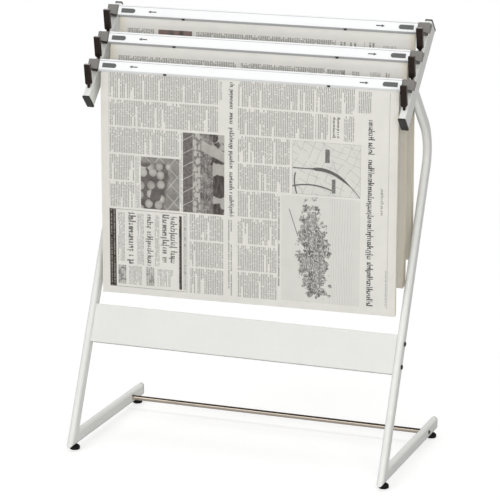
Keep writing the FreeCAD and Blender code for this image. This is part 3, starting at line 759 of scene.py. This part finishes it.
def hill_picture():
    """Layered hills under a pale sky. They rise towards smaller x."""
    page = Page("paper_picture_c")
    up = (531.0 - page.x) / 131.0
    cloud = page.noise(stretch=(0.05, 0.012, 1.0), detail=3.0, rough=0.55).rise(0.50, 0.66)
    light = up.remap(0.3, 1.0, 0.80, 0.62) + cloud * 0.16
    for i, (height, relief, scale, tone) in enumerate(HILLS):
        outline = page.vector(7.0 * i + 3.0, page.z * scale, 2.0)
        outline = page.noise(at=outline, detail=4.0, rough=0.55) * relief
        ridge = height - relief * 0.5 + outline
        inside = (ridge - up).rise(-0.006, 0.010)
        grain = page.noise(stretch=(0.5, 0.16, 1.0), detail=4.0, rough=0.65)
        light = light * (1.0 - inside) + inside * (tone + grain.swing(-0.08, 0.10))
    light = page.math("ADD", light, page.halftone() * 0.07, clamp=True)
    return page.finish(base=page.mix(light, srgb(58, 54, 52), srgb(222, 219, 213)))


def cut_edge_paper():
    page = Page("paper_cut_edge")
    layers = page.noise(stretch=(0.4, 0.5, 1.0), detail=3.0, rough=0.6).swing(0.15, 0.75)
    return page.finish(base=page.mix(layers, srgb(232, 226, 211), srgb(204, 195, 174)))


# The order is the order of the material slots on the newspapers.
PRINT = {
    "blank": Page("paper_blank").finish(),
    "text": text_page("paper_text", amount=0.66),
    "text_b": text_page("paper_text_b", amount=0.72, start=BAND_START["text_b"][0],
                        weight=0.30),
    "fine": text_page("paper_text_fine", amount=0.62, pitch=2.3, weight=0.24, gap=0.43),
    "bold": text_page("paper_text_bold", amount=0.84, pitch=5.8, weight=0.24, gap=0.42),
    "rule": rule_paper(),
    "head_a": display_page("paper_head_a", 0.90, [(241.6, 251.4, 5.8, 1.0, 0.13, 1.05)]),
    "head_b": display_page("paper_head_b", 0.94, [(493.0, 505.6, 7.2, 5.0, 0.11, 1.12)]),
    "head_c": display_page("paper_head_c", 0.75, [(516.6, 523.5, 6.0, 8.0, 0.0, 0.62)],
                           ink_colour=(92, 89, 86)),
    "head_d": display_page("paper_head_d", 0.90, [(430.0, 435.6, 3.6, 21.0, 0.06, 1.2),
                                                  (437.6, 443.4, 3.6, 27.0, 0.08, 1.2)]),
    "notice": display_page("paper_notice", 0.84, [(86.0, 99.0, 8.6, 31.0, 0.05, 0.8),
                                                  (50.0, 66.0, 9.4, 37.0, 0.05, 0.9),
                                                  (130.5, 145.0, 8.2, 41.0, 0.05, 0.8),
                                                  (115.0, 129.5, 9.0, 47.0, 0.04, 0.95)]),
    "band": band_paper(),
    "tint": tint_paper(),
    "pic_a": pebble_picture(),
    "pic_b": strip_picture(),
    "plan": plan_paper(),
    "engraving": engraving_paper(),
    "pic_dark": dark_picture(),
    "pic_c": hill_picture(),
    "cut": cut_edge_paper(),
}
PRINT_INDEX = {kind: i for i, kind in enumerate(PRINT)}


# --------------------------------------------------------------- page layouts
# Blocks are (x0, x1, z0, z1, kind) in page mm. Later blocks cover earlier ones.
def columns(x0, x1, bands, kind="text"):
    """Blocks of body type from x0 to x1 in the numbered bands."""
    start, top = BAND_START[kind]
    return [(x0, x1, start + BAND_PITCH * k + max(top, 0.2 - start - BAND_PITCH * k),
             start + BAND_PITCH * k + 43.4, kind) for k in bands]


FRONT_PAGE = [
    *columns(15, 220, (0, 1)), *columns(15, 147, (2,)), *columns(15, 62, (3, 4)),
    (222, 228, 3, 36, "fine"),
    (63.5, 72.5, 144, 236, "fine"), (75, 148.5, 144, 236, "pic_a"),
    (155, 232.5, 96, 236.5, "pic_b"), (149.6, 153.6, 98, 236, "fine"),
    # framed notice
    (14.0, 162.5, 240.0, 380.5, "rule"), (14.9, 161.6, 240.9, 379.6, "blank"),
    (155.6, 156.2, 243, 377, "rule"), (157.4, 160.2, 243, 377, "tint"),
    (14.9, 26.6, 240.9, 379.6, "band"), (30, 44, 246, 334, "fine"),
    (46, 66, 244, 338, "notice"), (67.5, 80, 246, 338, "fine"),
    (81, 99, 244, 338, "notice"), (101, 110, 246, 338, "fine"),
    (112, 144, 244, 330, "notice"), (147.3, 152.6, 245, 377, "band"),
    (30, 45, 341, 375, "tint"), (50, 76, 341, 375, "fine"),
    (84, 99.5, 341, 375, "tint"), (106, 136, 343, 374, "fine"),
    # middle of the page
    *columns(167, 231, (5, 6, 7)),
    (239, 252, 3, 239, "head_a"), (240.2, 246.4, 244, 380, "bold"),
    *columns(257, 468, (0,)), *columns(257, 396, (1,)),
    (399, 400, 47, 90, "rule"), (403, 421, 47, 90, "text"),
    (425.6, 426.4, 49, 90, "rule"), (428.4, 444, 50, 86, "head_d"),
    (450, 468, 47, 91, "text"), (474, 498, 3, 40, "text"),
    *columns(257, 353, (2, 3)), *columns(257, 331, (4, 5, 6, 7)),
    (332.6, 337.0, 196, 378, "bold"),
    (357.6, 480.6, 95.6, 188.4, "rule"), (358.0, 480.2, 96.0, 188.0, "plan"),
    (338.0, 481.0, 192.0, 380.0, "engraving"),
    # title and the lines beside it
    (489, 507, 51, 378, "head_b"), (515, 524, 168, 216, "head_c"),
    (530.4, 531.0, 3, 380, "rule"), (526.5, 529.9, 312, 377, "fine"),
]
SECOND_PAGE = [
    *columns(15, 238, range(8), "text_b"), *columns(246, 400, range(8), "text_b"),
    (404, 436, 19, 60, "tint"), (448, 462, 20, 62, "text_b"),
    (478, 500, 19, 60, "fine"), (508, 516, 19, 58, "text_b"),
    *columns(404, 516, range(1, 8), "text_b"),
]
THIRD_PAGE = [
    *columns(15, 66, range(8), "text_b"), (74, 138, 18, 108, "pic_dark"),
    *columns(146, 404, range(8), "text_b"), *columns(15, 138, range(2, 8), "text_b"),
    (412, 424, 20, 60, "bold"), (430, 446, 20, 60, "head_d"),
    (456, 476, 18, 62, "bold"), (490, 516, 22, 60, "fine"),
    *columns(412, 516, range(1, 8), "text_b"),
]
BACK_PAGE = [
    *columns(30, 262, range(8)), *columns(272, 392, range(5)),
    (400, 531, 4, 140, "pic_c"), (272, 392, 244, 380, "fine"),
    *columns(400, 531, range(3, 8)), (263.5, 270.0, 4, 378, "bold"),
]


# ----------------------------------------------------------------- newspapers
LEAVES = 12
LIP_BELOW = 4.6             # drop from the bar origin to the lip, where page z is 0
# Front and back of the hanging bundle. Columns: drop below the bar origin, y of the front
# and of the back from the bar origin, and how much of the thickness newspaper 1 keeps.
HANG = (
    (1.1, 3.96, 4.85, 1.0),
    (LIP_BELOW, 2.12, 3.05, 1.0),
    (9.0, 0.75, 1.85, 1.0),
    (20.0, -0.05, 1.75, 1.0),
    (40.0, -0.7, 2.4, 0.95),
    (150.0, -2.6, 3.7, 0.68),
    (290.0, -4.7, 3.9, 0.50),
    (None, -5.4, 3.6, 0.42),       # this station is FOOT_BEYOND below the foot of the paper
)
FOOT_BEYOND = 8.0


def grid_lines(cuts, low, high, pitch):
    """Positions from low to high: the cuts, with even ones between, none a hair apart."""
    points = sorted(set([low, high] + [c for c in cuts if low < c < high]))
    kept = [points[0]]
    for point in points[1:]:
        if point - kept[-1] > 0.12:
            kept.append(point)
    if kept[-1] != high:
        kept[-1] = high
    lines = [kept[0]]
    for point in kept[1:]:
        start = lines[-1]
        count = max(1, int(math.ceil((point - start) / pitch)))
        for i in range(1, count + 1):
            lines.append(start + (point - start) * i / count)
    return np.array(lines)


def hermite(stations, values, wanted):
    """Smooth curve through the values at the stations, read at the wanted places."""
    stations, values = np.array(stations, float), np.array(values, float)
    steps = np.diff(stations)
    slopes = np.diff(values) / steps
    tangents = np.empty(len(values))
    tangents[0], tangents[-1] = slopes[0], slopes[-1]
    tangents[1:-1] = (slopes[:-1] * steps[1:] + slopes[1:] * steps[:-1]) / (
        steps[:-1] + steps[1:])
    i = np.clip(np.searchsorted(stations, wanted) - 1, 0, len(stations) - 2)
    h = stations[i + 1] - stations[i]
    t = (wanted - stations[i]) / h
    return ((2 * t**3 - 3 * t**2 + 1) * values[i]
            + (t**3 - 2 * t**2 + t) * h * tangents[i]
            + (-2 * t**3 + 3 * t**2) * values[i + 1]
            + (t**3 - t**2) * h * tangents[i + 1])


def waves(x, z, seed, size_x, size_z):
    """Smooth two-octave noise about 0 at each point."""
    out = np.empty(x.shape)
    for i in np.ndindex(x.shape):
        u, v = x[i] / size_x, z[i] / size_z
        coarse = mnoise.noise(Vector((u, v, seed)))
        out[i] = coarse + 0.45 * mnoise.noise(Vector((u * 2.1, v * 2.1, seed + 31.0)))
    return out


class Newspaper:
    """One hanging newspaper: loose leaves held at the spine, each a thin closed sheet."""

    def __init__(self, k, tilt_left, tilt_right, seed):
        """The tilts are how much lower the foot hangs at the left and right, in mm."""
        self.k = k
        self.tilt_left = tilt_left
        self.tilt_right = tilt_right
        self.seed = seed
        self.random = random.Random(seed)
        origin_y, origin_z = ORIGIN[k]
        low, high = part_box("holder_%d_newspaper" % k)
        self.left = low.x * 1000
        self.width = high.x * 1000 - self.left
        foot = low.z * 1000
        self.clamp_top = origin_z - HANG[0][0]
        self.lip = origin_z - LIP_BELOW
        self.length = self.lip - foot
        heights = [origin_z - row[0] for row in HANG[:-1]] + [foot - FOOT_BEYOND]
        self.depths = [self.clamp_top - height for height in heights]
        self.front = [origin_y + row[1] for row in HANG]
        self.back = [origin_y + row[2] for row in HANG]
        if k == 1:
            self.back = [front + (back - front) * row[3]
                         for front, back, row in zip(self.front, self.back, HANG)]
        self.crease = self.left + self.width * 0.5 + self.random.uniform(-3, 3)
        self.verts, self.faces, self.slots, self.page = [], [], [], []

    def trims(self, leaf):
        """Uneven edges of a leaf: left shift, right shift and shortening, in mm."""
        if leaf == 0:
            return 0.0, 0.0, 0.0
        left = self.random.uniform(-0.2, 1.6)
        right = self.random.uniform(-1.4, -0.2 if self.k == 1 else 1.0)
        short = self.random.uniform(*((0.2, 0.8) if leaf == LEAVES - 1 else (0.6, 3.4)))
        return left, right, short

    def surface(self, leaf, page_x, page_z, trims):
        """Middle surface of a leaf, as x, y and z in mm, and half its thickness."""
        left, right, short = trims
        share = page_x / self.width
        x = self.left + left * (1 - share) + right * share + page_x
        length = self.length + (
            self.tilt_left + (self.tilt_right - self.tilt_left) * share) - short
        z = self.lip - np.where(page_z > 0, page_z * length / self.length, page_z)
        depth = self.clamp_top - z
        front = hermite(self.depths, self.front, depth)
        spread = hermite(self.depths, self.back, depth) - front
        gap = spread / (LEAVES - 1.0)
        # each leaf stands off the one before by its own uneven gap, so none crosses the next
        y = front.copy()
        for j in range(leaf):
            uneven = np.clip(waves(x, z, self.seed * 7.7 + j * 2.9, 120.0, 210.0), -1, 1)
            y += gap * (1.0 + 0.14 * uneven)
        # the whole bundle waves, most below the clamp and in a belt close under it
        grow = 1 - np.exp(-np.maximum(depth - 5, 0) / 70.0)
        belt = np.exp(-((np.maximum(depth - 4, 0) - 26.0) / 26.0) ** 2)
        bundle = (waves(x, z, self.seed * 3.1, 210.0, 330.0) * 2.2 * grow
                  + waves(x, z, self.seed * 5.3, 62.0, 70.0) * 0.80 * belt)
        # near the side edges the leaves fan out and curl
        half_width = self.width / 2
        side = np.clip((np.abs(page_x - half_width) - (half_width - 60)) / 60.0, 0, 1)
        order = leaf / (LEAVES - 1.0)
        fan = (order - 0.5) * spread * 0.55 * side**2 * grow
        curl = (order - 0.35) * 0.9 * side**3 * grow
        crease = np.exp(-np.abs(x - self.crease) / 7.0) * 0.9 * grow
        crease = crease * (1 if self.k == 1 else 0.7)
        half = np.minimum(0.40, 0.42 * spread / (LEAVES - 1.0))
        return x, y + bundle + fan + curl - crease, z, half

    def add_side(self, xs, zs, points, marks, blocks, is_back):
        """One face of a leaf, its quads given the print of the last block over them."""
        offset = len(self.verts)
        self.verts.extend((np.stack(points, axis=-1) * MM).reshape(-1, 3).tolist())
        self.page.extend(np.stack(marks, axis=-1).reshape(-1, 3).tolist())
        rows = len(zs)
        for a in range(len(xs) - 1):
            x = 0.5 * (xs[a] + xs[a + 1])
            crossed = [block for block in blocks if block[0] < x < block[1]]
            for b in range(rows - 1):
                z = 0.5 * (zs[b] + zs[b + 1])
                kind = "blank"
                for block in crossed:
                    if block[2] < z < block[3]:
                        kind = block[4]
                first = offset + a * rows + b
                beside = first + rows
                if is_back:
                    self.faces.append((first, beside, beside + 1, first + 1))
                else:
                    self.faces.append((first, first + 1, beside + 1, beside))
                self.slots.append(PRINT_INDEX[kind])

    def add_rim(self, nx, nz):
        """The cut edges that close the leaf added last."""
        back = len(self.verts) - nx * nz
        front = back - nx * nz
        ring = [(a, 0) for a in range(nx)]
        ring += [(nx - 1, b) for b in range(1, nz)]
        ring += [(a, nz - 1) for a in range(nx - 2, -1, -1)]
        ring += [(0, b) for b in range(nz - 2, 0, -1)]
        steps = [a * nz + b for a, b in ring]
        for here, after in zip(steps, steps[1:] + steps[:1]):
            self.faces.append((front + here, front + after, back + after, back + here))
            self.slots.append(PRINT_INDEX["cut"])

    def add_leaf(self, leaf, front_blocks, back_blocks):
        blocks = front_blocks or back_blocks
        trims = self.trims(leaf)
        cuts_x = [block[0] for block in blocks] + [block[1] for block in blocks]
        cuts_z = [block[2] for block in blocks] + [block[3] for block in blocks]
        xs = grid_lines(cuts_x, 0.0, self.width, 8.5 if blocks else 19.0)
        zs = grid_lines(cuts_z, 0.0, self.length, 8.5 if blocks else 15.0)
        clamped = self.clamp_top - self.lip
        zs = np.concatenate([[-clamped], [-clamped * 0.45], zs])
        page_x, page_z = np.meshgrid(xs, zs, indexing="ij")
        x, y, z, half = self.surface(leaf, page_x, page_z, trims)
        for side, printed in enumerate((front_blocks, back_blocks)):
            side_y = y + half if side else y - half
            number = np.full(x.shape, leaf + 0.5 * side + 20.0 * (self.k - 1))
            self.add_side(xs, zs, (x, side_y, z), (page_x, page_z, number), printed, side)
        self.add_rim(len(xs), len(zs))

    def build(self, front_page, back_page):
        for leaf in range(LEAVES):
            self.add_leaf(leaf, front_page if leaf == 0 else [],
                          back_page if leaf == LEAVES - 1 else [])
        name = "newspaper_%d_sheets" % self.k
        mesh = bpy.data.meshes.new(name)
        mesh.from_pydata(self.verts, [], self.faces)
        for material in PRINT.values():
            mesh.materials.append(material)
        mesh.polygons.foreach_set("material_index", np.array(self.slots, np.int32))
        page = mesh.attributes.new("page", "FLOAT_VECTOR", "POINT")
        page.data.foreach_set("vector", np.array(self.page, np.float32).ravel())
        mesh.polygons.foreach_set("use_smooth", np.ones(len(self.faces), bool))
        mesh.update()
        mesh.validate()
        sharpen_rims(mesh)
        obj = add_object(name, mesh)
        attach(obj, "holder_%d" % self.k)
        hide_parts("holder_%d_newspaper" % self.k)


def sharpen_rims(mesh):
    """Mark as sharp each edge between a printed face and a cut edge."""
    touching = {}
    for polygon in mesh.polygons:
        is_cut = polygon.material_index == PRINT_INDEX["cut"]
        for key in polygon.edge_keys:
            touching.setdefault(key, set()).add(is_cut)
    sharp = np.zeros(len(mesh.edges), bool)
    for i, edge in enumerate(mesh.edges):
        sharp[i] = len(touching.get(tuple(sorted(edge.vertices)), ())) == 2
    attributes = mesh.attributes
    marks = attributes.get("sharp_edge") or attributes.new("sharp_edge", "BOOLEAN", "EDGE")
    marks.data.foreach_set("value", sharp)


# ------------------------------------------------------------------- lip tabs
TAB_X = {"left": -151.0, "right": 149.0}
# outline of a tab in the bar section: up the face, into the bar, half width along x
TAB_OUTLINE = (
    (-0.9, 0.45, 3.2), (-3.0, 2.05, 2.8), (-3.8, 2.30, 1.7),
    (-3.8, 2.72, 1.7), (-2.9, 2.70, 2.8), (-0.9, 1.15, 3.2),
)


def lip_tab(k, side, x):
    """A small dark tab on the lower lip of bar k: narrow at its foot, with eased edges."""
    origin_y, origin_z = ORIGIN[k]
    verts = []
    for sign in (-1, 1):
        for up, deep, half in TAB_OUTLINE:
            y = origin_y + UP_Y * up + IN_Y * deep
            z = origin_z + UP_Z * up + IN_Z * deep
            verts.append(((x + sign * half) * MM, y * MM, z * MM))
    n = len(TAB_OUTLINE)
    faces = [tuple(range(n - 1, -1, -1)), tuple(range(n, 2 * n))]
    faces += [(i, (i + 1) % n, n + (i + 1) % n, n + i) for i in range(n)]
    name = "holder_%d_lip_tab_%s" % (k, side)
    mesh = bpy.data.meshes.new(name)
    mesh.from_pydata(verts, [], faces)
    bm = bmesh.new()
    bm.from_mesh(mesh)
    bmesh.ops.recalc_face_normals(bm, faces=bm.faces)
    bmesh.ops.bevel(bm, geom=list(bm.edges), offset=0.00018, segments=2, affect="EDGES",
                    profile=0.6)
    bm.to_mesh(mesh)
    bm.free()
    mesh.materials.append(FINISH["black_cap"])
    obj = add_object(name, mesh)
    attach(obj, "holder_%d" % k)


for k in HOLDERS:
    for side, x in TAB_X.items():
        lip_tab(k, side, x)

Newspaper(1, tilt_left=4.7, tilt_right=-2.8, seed=11).build(FRONT_PAGE, BACK_PAGE)
Newspaper(2, tilt_left=1.0, tilt_right=-0.6, seed=23).build(SECOND_PAGE, BACK_PAGE)
Newspaper(3, tilt_left=0.6, tilt_right=0.8, seed=37).build(THIRD_PAGE, BACK_PAGE)


# ------------------------------------------------------------ stage and light
WHITE = (1.0, 1.0, 1.0, 1.0)
FLOOR_HALF = 16.0           # metres
FLOOR_CELLS = 24


def floor_finish():
    """Matt pale grey that washes out to plain white away from the rack."""
    m = Solid("stage_floor_finish")
    is_camera = m.value("ShaderNodeLightPath", "Is Camera Ray")
    base = m.shade((0.64, 0.64, 0.636, 1.0), m.noise(scale=0.0012).swing(0.995, 1.0))
    m.set(Base_Color=base, Roughness=0.85, Specular_IOR_Level=0.1, Emission_Color=WHITE,
          Emission_Strength=0.06 + is_camera * 0.44)
    x, y, _ = m.split(m.place)
    radius = (x * x + y * y).root()
    glow = m.filled("ShaderNodeEmission", WHITE, 1.0).outputs[0]
    mixed = m.mix_shader(radius.rise(650.0, 1900.0) * is_camera, m.shader.outputs[0], glow)
    m.put(m.output.inputs[0], mixed)
    return m.material


def floor():
    mesh = bpy.data.meshes.new("stage_floor")
    marks = [-FLOOR_HALF + 2 * FLOOR_HALF * i / FLOOR_CELLS for i in range(FLOOR_CELLS + 1)]
    row = FLOOR_CELLS + 1
    corners = [i * row + j for i in range(FLOOR_CELLS) for j in range(FLOOR_CELLS)]
    mesh.from_pydata([(x, y, 0.0) for x in marks for y in marks], [],
                     [(c, c + row, c + row + 1, c + 1) for c in corners])
    obj = add_object("stage_floor", mesh)
    mesh.materials.append(floor_finish())


def softbox(name, place, target, size, power, colour=(1.0, 1.0, 1.0)):
    light = bpy.data.lights.new(name, "AREA")
    light.shape = "RECTANGLE"
    light.size, light.size_y = size
    light.energy = power
    light.color = colour
    obj = add_object(name, light)
    obj.location = place
    obj.rotation_mode = "QUATERNION"
    obj.rotation_quaternion = (Vector(target) - Vector(place)).to_track_quat("-Z", "Y")
    return obj


def studio_world():
    """White for the camera, soft grey light, and for shiny pieces a dark ceiling."""
    world = bpy.data.worlds.new("studio")
    SCENE.world = world
    w = Nodes(world)

    def background(colour, strength):
        return w.filled("ShaderNodeBackground", colour, strength).outputs[0]

    direction = w.node("ShaderNodeTexCoord").outputs["Generated"]
    height = w.filled("ShaderNodeSeparateXYZ", direction).outputs[2]
    ramp = w.filled("ShaderNodeValToRGB", height)
    stops = ramp.color_ramp.elements
    stops[0].color = (0.95, 0.95, 0.95, 1)
    stops[1].color = (0.16, 0.155, 0.15, 1)
    stops.new(0.45).color = (0.80, 0.80, 0.80, 1)
    stops.new(0.62).color = (0.13, 0.12, 0.11, 1)
    rays = w.node("ShaderNodeLightPath").outputs
    seen = w.mix_shader(rays["Is Glossy Ray"], background(WHITE, 0.42),
                        background(ramp.outputs[0], 1.0))
    seen = w.mix_shader(rays["Is Camera Ray"], seen, background(WHITE, 1.0))
    w.filled("ShaderNodeOutputWorld", seen)


def camera():
    """A long lens in front of the rack, to its right and above it."""
    turn, pitch, roll = math.radians(20.778), math.radians(14.636), math.radians(-0.116)
    data = bpy.data.cameras.new("camera")
    data.sensor_width = 36.0
    data.lens = 177.73
    data.clip_start = 0.05
    data.clip_end = 100.0
    obj = add_object("camera", data)
    forward = Vector((-math.sin(turn) * math.cos(pitch),
                      math.cos(turn) * math.cos(pitch),
                      -math.sin(pitch)))
    level = Vector((math.cos(turn), math.sin(turn), 0.0))
    upright = level.cross(forward)
    right = level * math.cos(roll) + upright * math.sin(roll)
    up = -level * math.sin(roll) + upright * math.cos(roll)
    rotation = Matrix((right, up, -forward)).transposed()
    obj.matrix_world = Matrix.Translation((1.4809, -3.9188, 1.4521)) @ rotation.to_4x4()
    SCENE.camera = obj


floor()
softbox("key_softbox", place=(-2.1, -3.4, 3.3), target=(0, 0, 0.45), size=(2.8, 2.8),
        power=44.0, colour=(1.0, 0.998, 0.99))
top = softbox("top_softbox", place=(0.2, 0.4, 4.2), target=(0, 0, 0.4), size=(3.2, 3.2),
              power=50.0)
top.visible_glossy = False      # keeps the upper side of the polished tube dark
softbox("fill_softbox", place=(2.0, -3.8, 1.7), target=(0, 0, 0.45), size=(1.9, 1.7),
        power=66.0, colour=(1.0, 0.995, 0.985))
softbox("back_softbox", place=(-1.5, 3.8, 2.6), target=(0, 0, 0.4), size=(2.6, 2.2),
        power=24.0)
studio_world()

SCENE.view_settings.view_transform = "Standard"
SCENE.view_settings.look = "None"
SCENE.view_settings.exposure = 0.0
SCENE.view_settings.gamma = 1.0

camera()

bpy.context.view_layer.update()
